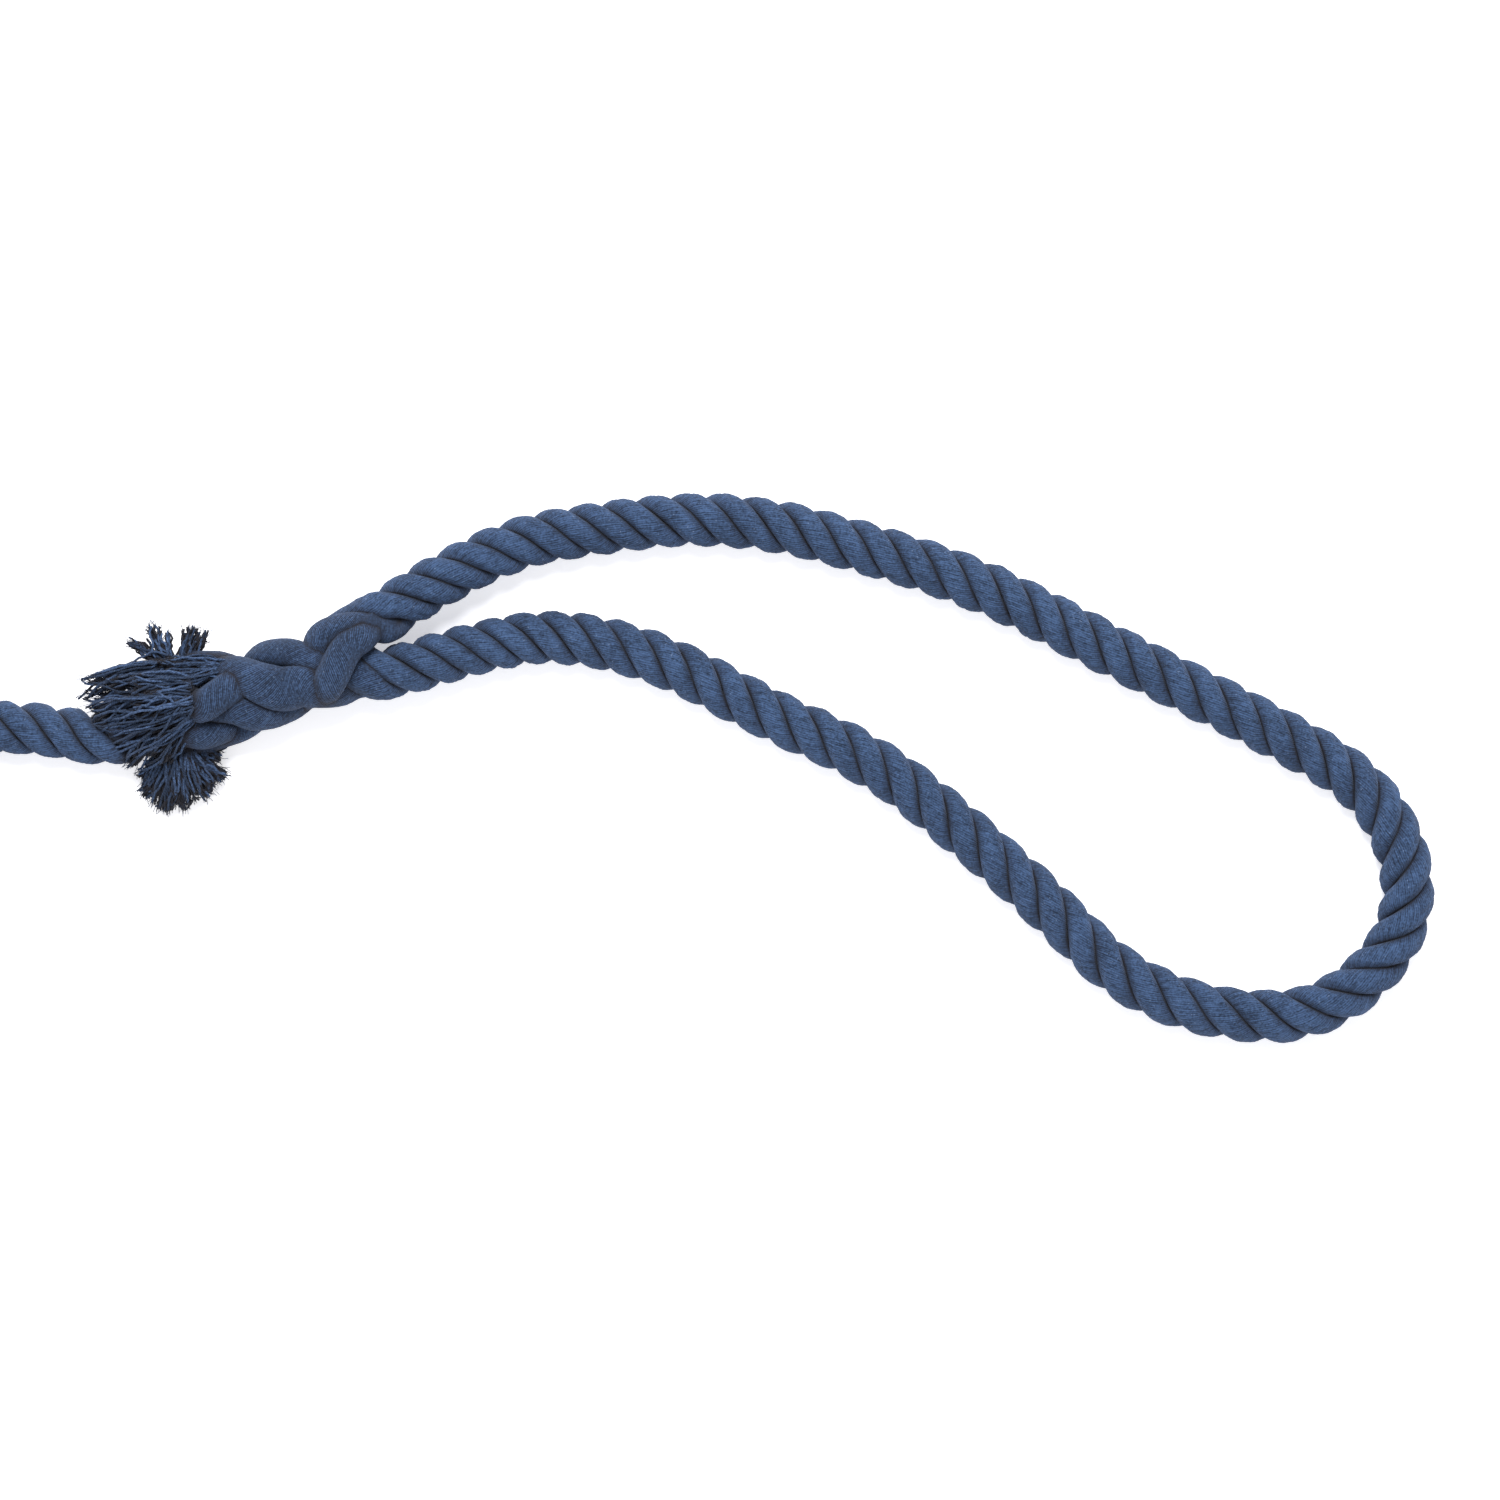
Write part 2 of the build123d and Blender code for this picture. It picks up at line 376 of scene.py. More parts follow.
def ring_uvs(share, turned, along):
    """Across and along at those faces' corners: share goes round a ring, and the others along the tube."""
    here, there = slice(None, -1), slice(1, None)
    corners = []
    for across, row in ((here, here), (there, here), (there, there), (here, there)):
        u = share[across][None] + turned[row][:, None]
        corners.append(np.stack([u, np.broadcast_to(along[row][:, None], u.shape)], -1))
    return np.stack(corners, 2).reshape(-1, 2)


def ring_mesh(name, rings, lengths):
    """A strand's mesh: a closed tube through rings of points, whose UV map counts its yarns."""
    count, around = rings.shape[:2]
    quads = ring_quads(count, around)
    points = np.concatenate([rings.reshape(-1, 3), [rings[0].mean(0), rings[-1].mean(0)]])
    low, high = len(points) - 2, len(points) - 1
    last = (count - 1) * around
    ends = []
    for a in range(around):
        b = (a + 1) % around
        ends += [(b, a, low), (last + a, last + b, high)]
    ends = np.array(ends)

    mesh = bpy.data.meshes.new(name)
    mesh.vertices.add(len(points))
    mesh.vertices.foreach_set("co", points.ravel())
    mesh.loops.add(quads.size + ends.size)
    mesh.loops.foreach_set("vertex_index", np.r_[quads.ravel(), ends.ravel()])
    mesh.polygons.add(len(quads) + len(ends))
    starts = np.r_[np.arange(len(quads)) * 4, quads.size + np.arange(len(ends)) * 3]
    mesh.polygons.foreach_set("loop_start", starts)
    mesh.polygons.foreach_set("use_smooth", np.ones(len(starts), bool))
    along = lengths / MM
    turned = along * np.where(lengths < 0, TAIL_TWIST, YARN_TWIST)
    uvs = ring_uvs(RING_SHARE, turned, along) * (YARNS_ROUND, YARN_STREAK)
    mesh.uv_layers.new(name="yarns").data.foreach_set("uv", np.r_[uvs.ravel(), np.zeros(ends.size * 2)])
    mesh.update()
    mesh.validate()
    return mesh


def add_object(name, mesh, material):
    piece = bpy.data.objects.new(name, mesh)
    bpy.context.scene.collection.objects.link(piece)
    mesh.materials.append(material)
    return piece


# -- the three strands
# Each strand's tail, from the spliced end on. First points in space, then in the splice (along it, angle,
# distance from its middle), then points in space up to where its yarns fray.
TAILS = {
    0: {
        "entry": [(3.5, 12.3, 7.9), (-1.0, 9.6, 6.3), (-5.0, 6.6, 4.5)],
        "weave": [
            (16.6, 150, 6.4), (20.6, 136, 6.4), (24.7, 110, 5.6), (28.7, 72, 4.0), (30.4, 36, 5.0),
            (33.4, 21, 8.4), (39, 9, 9.3), (43, 0, 9.0),
        ],
        "exit": [(-34.5, -9.6, 16.5), (-38.5, -9.6, 16.0)],
    },
    1: {
        "entry": [
            (5.0, 9.3, 12.9), (-0.5, 8.8, 13.9), (-5.0, 7.0, 14.3), (-6.2, 3.6, 13.3), (-5.0, 0.6, 10.9),
        ],
        "weave": [(16.6, 0, 2.6), (21.6, -20, 2.8), (27, -60, 3.4), (31.5, -90, 5.0), (35, -104, 7.2)],
        "exit": [(-30.5, -16.6, 6.1), (-35.5, -18.8, 5.7), (-40.0, -21.0, 6.1)],
    },
    2: {
        "entry": [(7.8, 10.0, 6.5), (6.2, 8.6, 11.5), (4.6, 6.2, 15.9)],
        "weave": [
            (6.6, 36, 9.4), (10.8, -3, 9.4), (13.2, -28, 8.4), (15.4, -70, 4.8), (18, -98, 3.6),
            (23.5, -118, 5.0), (28.7, -165, 5.2), (32.8, -210, 5.4), (36, -250, 6.0),
        ],
        "exit": [(-28.0, -0.2, 10.7), (-32.5, -0.2, 10.7), (-37.0, 0.0, 10.5)],
    },
}
TAIL_HALF_W = 4.0 * MM  # half the width of a strand there
TAIL_LEAD = 3.5 * MM  # how far a tail runs straight on from the spliced end
TAIL_STEP = 0.8 * SEEN_STEP
TAIL_RESOLUTION = 16
TURN_IN = 14 * MM  # how far past the spliced end a strand takes to leave the lay
NEAR_SPLICE = (-15, 70)  # the part of the splice's middle line that tails turn their outer sides from
LOWEST = 0.04 * MM  # no strand reaches below this


def weave_place(q, angle, radius):
    """A point of the splice, in metres."""
    i = int(np.argmin(np.abs(splice_q - q)))
    shift = knots(SIDE_SHIFT, q) * MM
    turn = math.radians(angle)
    out = rope_up[i] * math.cos(turn) + rope_side[i] * math.sin(turn)
    return rope_centre[i] + rope_side[i] * shift + out * radius * MM


def laid_centres(k):
    """Strand k along the route: its centre line, outward directions, and half its width where it's round."""
    phase = rope_phase + math.radians(120 * k)
    at_mark = math.degrees(np.interp(MARK_Q, splice_q, phase))
    table = STANDING[round(at_mark) % 360]
    whole_turns = round((at_mark - round(at_mark) % 360) / 360) * 360
    moved = []
    for q, angle, _, _ in table:
        natural = math.degrees(np.interp(q, splice_q, phase))
        moved.append((q, 0 if angle is None else angle + whole_turns - natural))
    inside = (splice_q > SPLICE_FROM) & (splice_q < SPLICE_TO)
    q = np.clip(splice_q, SPLICE_FROM, SPLICE_TO)
    phase = (phase + np.where(inside, np.radians(gentle(moved, q)), 0))[:, None]
    radius = np.where(inside, gentle([(row[0], row[2]) for row in table], q) * MM, STRAND_OFFSET)
    half_w = gentle([(row[0], row[3]) for row in table], q) * MM
    out = np.cos(phase) * rope_up + np.sin(phase) * rope_side
    return rope_centre + rope_side * middle_shift() + out * radius[:, None], out, half_w


def tail_of(k, start, way, out):
    """Strand k's tail: its line, and from its frayed end to the spliced end its rings' lengths, centres,
    directions and outward directions."""
    tail = TAILS[k]
    points = [start, start - way * TAIL_LEAD]
    points += [np.array(p) * MM for p in tail["entry"]]
    points += [weave_place(*p) for p in tail["weave"]]
    points += [np.array(p) * MM for p in tail["exit"]]
    line = nurbs_line(points, TAIL_RESOLUTION)
    steps = np.arange(along_line(line)[-1], 0.5 * SEEN_STEP, -TAIL_STEP)
    centre = at_lengths(line, steps)
    forward = -directions(at_lengths(line, steps[::-1]))[::-1]

    # Carry the laid strand's outward direction along the tail, and turn it away from the splice's middle
    near = (splice_q > NEAR_SPLICE[0]) & (splice_q < NEAR_SPLICE[1])
    middle = (rope_centre + rope_side * middle_shift())[near]
    nearest = middle[np.argmin(np.linalg.norm(centre[:, None] - middle[None], axis=2), axis=1)]
    radial = across_part(centre - nearest, forward)
    carried = np.zeros_like(radial)
    for i in range(len(steps) - 1, -1, -1):
        out = across_part(out, forward[i])
        carried[i] = out
    other = np.cross(forward, carried)
    angle = np.arctan2((radial * other).sum(1), (radial * carried).sum(1))
    angle = np.unwrap(angle[::-1])[::-1] * smooth(steps / TURN_IN)
    return line, steps, centre, forward, carried * np.cos(angle)[:, None] + other * np.sin(angle)[:, None]


def uneven(rng, section, lengths):
    """Rings' outlines with the slow swelling and the small ripples of a soft strand."""
    section = section * (1 + lumps(rng, lengths, *SWELL))[:, None, None]
    ripple = np.stack([lumps(rng, lengths, *RIPPLE) for _ in range(RIPPLES)], 1)
    turns = np.arange(RING_POINTS) / RING_POINTS * 2 * np.pi
    shape = sum(ripple[:, m : m + 1] * np.cos((m + 2) * turns[None] + m) for m in range(RIPPLES))
    section[..., 0] += shape * np.cos(RING_ANGLE)[None]
    section[..., 1] += shape * np.sin(RING_ANGLE)[None]
    return section


def strand_rings(k, rng):
    """Strand k from end to end: its rings, their lengths from the spliced end, how round they are, and its
    tail's line."""
    centre, out, half_w = laid_centres(k)
    way = directions(centre)
    free = in_splice(ROUND_BEGINS, ROUND_ENDS)
    normal = unit(rope_tangent * (1 - free[:, None]) + way * free[:, None])
    line, steps, tail_centre, tail_way, tail_out = tail_of(k, centre[0], way[0], out[0])
    tail_free = smooth(steps / TURN_IN)
    tail_normal = unit(rope_tangent[0] * (1 - tail_free[:, None]) + tail_way * tail_free[:, None])

    centre = np.concatenate([tail_centre, centre])
    normal = np.concatenate([tail_normal, normal])
    free = np.concatenate([tail_free, free])
    half_w = np.concatenate([np.full(len(steps), TAIL_HALF_W), half_w])
    lengths = np.concatenate([-steps, route_steps])
    out = across_part(np.concatenate([tail_out, out]), normal)
    side = np.cross(normal, out)
    section = uneven(rng, rounded(free, half_w), lengths)
    rings = centre[:, None] + out[:, None] * section[..., :1] + side[:, None] * section[..., 1:]
    rings[..., 2] = np.maximum(rings[..., 2], LOWEST)
    return rings, lengths, free, line


# -- materials
# Each piece's UV map counts yarns across them and runs along them. A piece's painted shade value is 1 where
# it is fully in painted shade: in its grooves and creases, at a frayed yarn's root, under other yarns and
# under the tufts. "loose" is 1 where a strand is out of the lay, and "tone" is a frayed yarn's own shade.
ROUGHNESS, GLOSS = 0.92, 0.2
SHEEN, SHEEN_ROUGHNESS, SHEEN_TINT = 0.13, 0.5, (0.5, 0.58, 0.8, 1)
FIBRE_SCALE = 1900  # fine cotton fibres, about 0.5 mm
FLECK_SCALE = 1500
CLOUD_SCALE = 90
STREAK_SCALE = 1.1  # in yarns
# How much each shows in the value between the dark and the light colour, and how much more on a loose strand
YARN_LINES, LOOSE_LINES = 0.09, 0.10
FIBRES, LOOSE_FIBRES = 0.9, 0.3
CLOUDS = 0.3
LOOSE_SHADE = 0.27  # how much darker a loose strand is, of which 0.15 makes up for its stronger fibres and the rest is painted shade
VALUE_RANGE = (0.70, 1.50)
TONES = (0.45, 1.2)  # the darkest frayed yarn's shade, and how much lighter the lightest is
FLECK_RANGE, FLECKS = (0.70, 0.78), 0.5
FLECK_COLOUR = (0.17, 0.23, 0.36, 1)
# painted shade: the near-black colour mixed in where a piece is in painted shade
PAINTED_SHADE_COLOUR = (0.015, 0.014, 0.018, 1)
GROOVE_SIDES, SIDE_SHADE = (0.48, 1.0), 0.42  # the painted shade on the grooves' sides, and beside creases and under yarns
# painted shade: the full shade colour where the painted shade value is in this range
GROOVE_FLOOR = (0.86, 1.0)
LOOSE_PAINTED_SHADE = 0.10  # painted shade: this much of the shade colour all over a loose strand
BUMP_STRENGTH, BUMP_DEPTH, FIBRE_BUMP = 0.8, 0.07 * MM, 0.9


def cotton_material(name, dark, light, toned=False):
    """Dyed cotton yarns: fine fibres, streaks along each yarn, a few pale flecks, and painted shade where
    yarns meet, where they lie under others and all over loose strands.
    """
    material = bpy.data.materials.new(name)
    material.use_nodes = True
    tree = material.node_tree

    def fill(made, values):
        for socket, value in values.items():
            if hasattr(value, "is_linked"):
                tree.links.new(value, made.inputs[socket])
            else:
                made.inputs[socket].default_value = value
        return made

    def maths(operation, *values):
        made = tree.nodes.new("ShaderNodeMath")
        made.operation = operation
        return fill(made, dict(enumerate(values))).outputs[0]

    def noise(place, scale, detail):
        made = tree.nodes.new("ShaderNodeTexNoise")
        return fill(made, {"Vector": place, "Scale": scale, "Detail": detail}).outputs["Fac"]

    def between(value, low, high):
        made = tree.nodes.new("ShaderNodeMapRange")
        made.interpolation_type = "SMOOTHSTEP"
        return fill(made, {"Value": value, "From Min": low, "From Max": high}).outputs["Result"]

    def mixed(factor, first, second, blend="MIX"):
        made = tree.nodes.new("ShaderNodeMix")
        made.data_type = "RGBA"
        made.blend_type = blend
        return fill(made, {0: factor, 6: first, 7: second}).outputs[2]

    def attribute(attribute_name):
        made = tree.nodes.new("ShaderNodeAttribute")
        made.attribute_name = attribute_name
        return made.outputs["Fac"]

    shader = fill(tree.nodes["Principled BSDF"], {"Roughness": ROUGHNESS, "Specular IOR Level": GLOSS})
    fill(shader, {"Sheen Weight": SHEEN, "Sheen Roughness": SHEEN_ROUGHNESS, "Sheen Tint": SHEEN_TINT})
    yarns = tree.nodes.new("ShaderNodeUVMap")
    yarns.uv_map = "yarns"
    split = fill(tree.nodes.new("ShaderNodeSeparateXYZ"), {0: yarns.outputs[0]})
    place = tree.nodes.new("ShaderNodeTexCoord").outputs["Object"]
    wave = maths("SINE", maths("MULTIPLY", split.outputs[0], 2 * math.pi))
    fibre = noise(place, FIBRE_SCALE, 2)
    loose = attribute("loose")
    line = maths("MULTIPLY", wave, maths("MULTIPLY_ADD", loose, LOOSE_LINES, YARN_LINES))
    value = maths("ADD", line, noise(yarns.outputs[0], STREAK_SCALE, 3))
    value = maths("MULTIPLY_ADD", fibre, maths("MULTIPLY_ADD", loose, LOOSE_FIBRES, FIBRES), value)
    value = maths("MULTIPLY_ADD", loose, -LOOSE_SHADE, value)
    value = maths("MULTIPLY_ADD", noise(place, CLOUD_SCALE, 2), CLOUDS, value)
    colour = mixed(between(value, *VALUE_RANGE), (*dark, 1), (*light, 1))
    if toned:
        shade = maths("MULTIPLY_ADD", attribute("tone"), TONES[1], TONES[0])
        grey = tree.nodes.new("ShaderNodeCombineColor")
        colour = mixed(1.0, colour, fill(grey, {0: shade, 1: shade, 2: shade}).outputs[0], "MULTIPLY")
    flecks = maths("MULTIPLY", between(noise(place, FLECK_SCALE, 1), *FLECK_RANGE), FLECKS)
    colour = mixed(flecks, colour, FLECK_COLOUR)
    # painted shade: by the painted shade value, a soft darkening and then the near-black shade colour, and a
    # little of it over loose strands
    painted_shade = attribute("painted_shade")
    shaded = maths("MULTIPLY", between(painted_shade, *GROOVE_SIDES), SIDE_SHADE)
    colour = mixed(maths("MULTIPLY_ADD", loose, LOOSE_PAINTED_SHADE, shaded), colour, PAINTED_SHADE_COLOUR)
    colour = mixed(between(painted_shade, *GROOVE_FLOOR), colour, PAINTED_SHADE_COLOUR)
    fill(shader, {"Base Color": colour})
    bump = tree.nodes.new("ShaderNodeBump")
    height = maths("MULTIPLY_ADD", fibre, FIBRE_BUMP, wave)
    fill(bump, {"Strength": BUMP_STRENGTH, "Distance": BUMP_DEPTH, "Height": height})
    fill(shader, {"Normal": bump.outputs[0]})
    return material


cotton = cotton_material("navy_cotton", (0.0115, 0.0205, 0.042), (0.058, 0.106, 0.218))
frayed = cotton_material("navy_yarn_ends", (0.0095, 0.0160, 0.032), (0.055, 0.094, 0.187), toned=True)
twine = cotton_material("dark_twine", (0.006, 0.008, 0.016), (0.032, 0.042, 0.075))

# -- painted shade in the creases
CREASE_WIDTH = 1.8 * MM  # how far from a neighbour's surface a strand is in its shade
CREASE_FALL = 0.55  # how much weaker the shade is at that distance


def ring_tree(rings):
    """The surface of a stretch of rings, for finding the nearest point on it."""
    return BVHTree.FromPolygons(rings.reshape(-1, 3).tolist(), ring_quads(*rings.shape[:2]).tolist())


# The stretches that lie against each other in the splice, by their lengths from the spliced end
STRETCHES = {
    "tail": (-1, 0),
    "start": (0, 0.035),
    "splice": (SPLICE_START - 0.006, SPLICE_START + 0.060),
}


def add_creases(made):
    """Paint crease shade into each strand where it meets another stretch in the splice, by raising its
    painted shade values.
    """
    stretches = []
    for k, (rings, lengths, _) in enumerate(made):
        for kind, (low, high) in STRETCHES.items():
            span = np.flatnonzero((lengths >= low) & (lengths < high))
            stretches.append((k, kind, span, ring_tree(rings[span])))
    for k, kind, span, _ in stretches:
        rings, _, painted_shade = made[k]
        others = [
            tree for k2, kind2, _, tree in stretches
            if (k2, kind2) != (k, kind) and not (k2 == k and {kind, kind2} == {"tail", "start"})
        ]
        for i in span:
            for j in range(RING_POINTS):
                near = CREASE_WIDTH
                for tree in others:
                    found = tree.find_nearest(rings[i, j], near)
                    if found[0] is not None:
                        near = min(near, found[3])
                if near < CREASE_WIDTH:
                    painted_shade[i, j] = max(painted_shade[i, j], 1 - CREASE_FALL * near / CREASE_WIDTH)


def set_values(mesh, name, values):
    mesh.attributes.new(name, "FLOAT", "POINT").data.foreach_set("value", values.astype(np.float32))


def make_strands():
    """The three strands as objects, and the lines of their tails."""
    made, looseness, strands, tail_lines = [], [], [], []
    for k in range(3):
        rings, lengths, free, line = strand_rings(k, np.random.default_rng(11 + k))
        made.append((rings, lengths, GROOVE_SHADE[None] * (1 - free[:, None])))
        looseness.append(free)
        tail_lines.append(line)
    add_creases(made)
    for k, ((rings, lengths, painted_shade), loose) in enumerate(zip(made, looseness)):
        mesh = ring_mesh(f"strand_{k + 1}", rings, lengths)
        # painted shade: in the grooves and creases, and full at the middles of the two end caps
        set_values(mesh, "painted_shade", np.r_[painted_shade.ravel(), 1, 1])
        set_values(mesh, "loose", np.r_[np.repeat(loose, RING_POINTS), 1, 0])
        strands.append(add_object(f"strand_{k + 1}", mesh, cotton))
    return strands, tail_lines


strands, tail_lines = make_strands()

# -- thin tubes
TUBE_SIDE = (0.31, 0.22, 0.93)  # any direction: a tube's rings begin on this side
UV_SHIFT = (7, 1.7)  # from tube to tube in the UV map, so that no two look the same


def tube_rings(path, radius, sides):
    """Rings round a path: radius is one number or one for each point."""
    way = directions(path)
    out = np.zeros_like(path)
    last = np.array(TUBE_SIDE)
    for i, t in enumerate(way):
        last = last - last.dot(t) * t
        last /= max(np.linalg.norm(last), 1e-9)
        out[i] = last
    side = np.cross(way, out)
    turn = (np.arange(sides) / sides * 2 * np.pi)[None, :, None]
    around = out[:, None] * np.cos(turn) + side[:, None] * np.sin(turn)
    return path[:, None] + np.reshape(radius, (-1, 1, 1)) * around


def tree_of(places):
    tree = KDTree(len(places))
    for i, place in enumerate(places):
        tree.insert(place, i)
    tree.balance()
    return tree


# A yarn is in shade by how many points of yarns are within this reach of a place above it, out of this many,
COVER_UP, COVER_REACH, COVER_MOST = 1.3 * MM, 1.4 * MM, 9
ROOT_SHADE, ROOT_SHARE = 0.9, 0.3  # and at its root by this, fading over this share of it


def cover_of(all_rings):
    """How deep each ring lies under other yarns, 0 to 1."""
    middles = [rings.mean(1) for rings in all_rings]
    tree = tree_of(np.concatenate(middles))
    up = np.array((0, 0, COVER_UP))
    return [
        np.array([min(1, len(tree.find_range(place + up, COVER_REACH)) / COVER_MOST) for place in line])
        for line in middles
    ]


def many_tubes(name, all_rings, material, covers=None, yarns=3, twist=0.5):
    """One piece of many closed tubes, each an array of rings, with this many yarns round it and this many
    turns of them in a millimetre. covers says how deep each ring lies under others."""
    points, faces, uvs, shades, tones = [], [], [], [], []
    count = 0
    own_tone = np.random.default_rng(len(all_rings))
    for number, rings in enumerate(all_rings):
        n, m = rings.shape[:2]
        along = along_line(rings.mean(1)) / MM
        points.append(rings.reshape(-1, 3))
        tones.append(np.full(n * m, own_tone.random()))
        # painted shade: dark at a yarn's root, fading along it, and where other yarns lie over it
        shade = np.zeros(n)
        if covers is not None:
            shade = np.maximum(ROOT_SHADE * (1 - smooth(np.linspace(0, 1, n) / ROOT_SHARE)), covers[number])
        shades.append(np.repeat(shade, m))
        uv = ring_uvs(np.arange(m + 1) / m, twist * along, along) * (yarns, YARN_STREAK)
        uvs += [uv + np.multiply(UV_SHIFT, number), np.tile((UV_SHIFT[0] * number, 0), (2 * m, 1))]
        faces += (count + ring_quads(n, m)).tolist()
        faces += [range(count + m - 1, count - 1, -1), range(count + (n - 1) * m, count + n * m)]
        count += n * m
    mesh = bpy.data.meshes.new(name)
    mesh.from_pydata(np.concatenate(points).tolist(), [], faces)
    mesh.polygons.foreach_set("use_smooth", np.ones(len(faces), bool))
    mesh.uv_layers.new(name="yarns").data.foreach_set("uv", np.concatenate(uvs).ravel())
    set_values(mesh, "painted_shade", np.concatenate(shades))
    set_values(mesh, "tone", np.concatenate(tones))
    mesh.update()
    return add_object(name, mesh, material)


# -- frayed ends
YARN_D = 0.58 * MM
YARN_SIDES = 6
# Bundles of cut yarns, in millimetres: number, root, how wide it is there, tip, how wide the yarns fan across
# and up, and how much they hump up on their way.
FRAYS = {
    "frayed_end_1": [
        (18, (-42.0, 0.4, 10.0), 1.4, (-51.8, 5.6, 8.2), 1.2, 1.2, 1.2),
        (26, (-42.0, 0.6, 10.5), 1.6, (-46.2, 9.0, 10.2), 1.9, 1.6, 1.2),
        (12, (-41.0, 0.8, 10.5), 1.4, (-42.4, 7.6, 10.2), 1.4, 1.4, 1.2),
        (32, (-37.6, 0.6, 10.5), 1.7, (-36.0, 8.8, 10.2), 2.3, 1.6, 1.0),
        (12, (-36.6, 0.6, 10.5), 1.4, (-32.9, 8.2, 10.2), 1.0, 1.2, 1.0),
        (24, (-41.0, 0.0, 11.5), 1.6, (-62.2, -3.8, 9.2), 1.5, 1.4, 3.0),
        (18, (-41.0, -1.0, 11.5), 1.4, (-63.0, -7.8, 8.2), 1.1, 1.1, 4.0),
        (28, (-39.0, 0.0, 12.5), 1.6, (-53.0, -1.6, 10.2), 1.4, 1.6, 3.0),
        (44, (-26.8, -1.0, 14.5), 1.4, (-44.5, -5.0, 18.2), 2.8, 1.2, 1.8),
        (44, (-26.4, -0.4, 14.7), 1.2, (-42.0, 0.8, 15.9), 2.2, 1.0, 1.6),
    ],
    "frayed_end_2": [
        (22, (-42.5, -19.6, 6.0), 2.0, (-49.6, -27.0, 4.5), 1.8, 1.6, 1.6),
        (38, (-41.6, -20.0, 6.5), 2.4, (-48.4, -31.6, 4.0), 2.2, 2.2, 2.6),
        (56, (-40.6, -20.2, 7.0), 2.8, (-44.0, -34.6, 4.0), 3.0, 2.8, 3.4),
        (56, (-39.4, -20.2, 7.5), 2.8, (-39.0, -34.2, 4.0), 3.2, 2.8, 3.8),
        (50, (-38.0, -20.2, 7.5), 2.6, (-34.0, -31.8, 4.0), 2.8, 2.8, 3.8),
        (46, (-36.8, -19.8, 7.0), 2.4, (-29.8, -27.4, 4.0), 2.2, 2.4, 3.2),
        (26, (-35.4, -18.6, 6.5), 2.0, (-30.2, -22.6, 5.5), 1.7, 1.8, 2.4),
        (34, (-24.6, -14.8, 5.0), 1.2, (-36.5, -21.2, 6.8), 1.4, 1.4, 0.6),
    ],
    "frayed_end_3": [
        (40, (-34.6, -4.8, 17.5), 2.2, (-56.4, -5.6, 10.8), 2.6, 2.6, 5.0),
        (46, (-34.4, -6.4, 18.1), 2.8, (-60.4, -9.8, 8.2), 2.8, 2.6, 6.0),
        (54, (-34.4, -8.0, 18.1), 3.0, (-60.2, -14.8, 7.2), 3.0, 2.6, 6.5),
        (58, (-34.6, -9.4, 17.5), 3.0, (-57.0, -20.2, 7.2), 3.0, 2.6, 6.5),
        (54, (-35.0, -10.6, 16.5), 2.8, (-51.4, -23.6, 8.2), 2.8, 2.6, 5.5),
        (44, (-35.4, -12.0, 14.5), 2.4, (-43.6, -23.2, 9.8), 2.6, 2.4, 4.0),
        (52, (-34.8, -7.0, 18.5), 3.6, (-49.0, -9.5, 18.8), 6.0, 2.0, 2.8),
        (46, (-34.8, -9.0, 18.3), 3.4, (-44.5, -15.5, 16.8), 4.6, 2.0, 2.8),
        (50, (-37.0, -6.0, 10.5), 3.2, (-59.0, -9.6, 7.8), 3.6, 1.6, 1.5),
        (54, (-38.0, -11.0, 10.0), 3.2, (-56.6, -17.4, 8.8), 3.8, 1.4, 1.5),
    ],
}
LONGEST, SHORTER = 1.04, 0.40  # the longest yarn, against its bundle's, and how much shorter others are
LEAN, STRAY, CURL = 0.10, 0.08, 0.30  # how far a yarn's first part and its last stray, against its length
YARN_POINTS = 11
YARN_WAVE = 0.17 * MM
YARN_LOWEST = 0.5 * MM
FINE_R = 0.07 * MM  # fine fibres that stand off each yarn's end
FINE_LOWEST = 0.2 * MM


def bezier(points, share):
    """A cubic through its first and last of four points."""
    a, b, c, d = (np.array(p)[None] for p in points)
    t = share[:, None]
    return a * (1 - t) ** 3 + 3 * b * t * (1 - t) ** 2 + 3 * c * t * t * (1 - t) + d * t**3


def bundle(rng, number, root, root_w, tip, fan, rise, hump):
    """The paths of a bundle's yarns."""
    root, tip = np.array(root, float) * MM, np.array(tip, float) * MM
    way = unit(tip - root)
    across = unit(np.cross(way, (0, 0, 1)))
    up = np.cross(across, way)
    paths = []
    for _ in range(number):
        turn, far = rng.uniform(0, 2 * np.pi), math.sqrt(rng.random())
        start = root + (across * math.cos(turn) + up * math.sin(turn)) * far * root_w * MM
        a, b = (np.clip(rng.normal(0, 0.5), -1.1, 1.1) for _ in range(2))
        length = LONGEST - SHORTER * rng.random() ** 1.6
        end = root + (tip - root) * length * (1 - 0.10 * a * a) + across * a * fan * MM + up * b * rise * MM
        whole = np.linalg.norm(end - start)
        lean = rng.normal(0, LEAN, 3) * whole
        early = start + way * 0.33 * whole + up * hump * MM * rng.uniform(0.5, 1.1) + lean
        late = start + (end - start) * 0.72 + up * hump * MM * rng.uniform(0.2, 0.8)
        late += rng.normal(0, STRAY, 3) * whole
        late += across * CURL * whole * rng.uniform(-0.5, 0.5)
        path = bezier((start, early, late, end), np.linspace(0, 1, YARN_POINTS))
        wave = rng.normal(0, YARN_WAVE, (YARN_POINTS, 3))
        wave[:2] = 0
        path = path + wave
        path[:, 2] = np.maximum(path[:, 2], YARN_LOWEST)
        paths.append(path)
    return paths


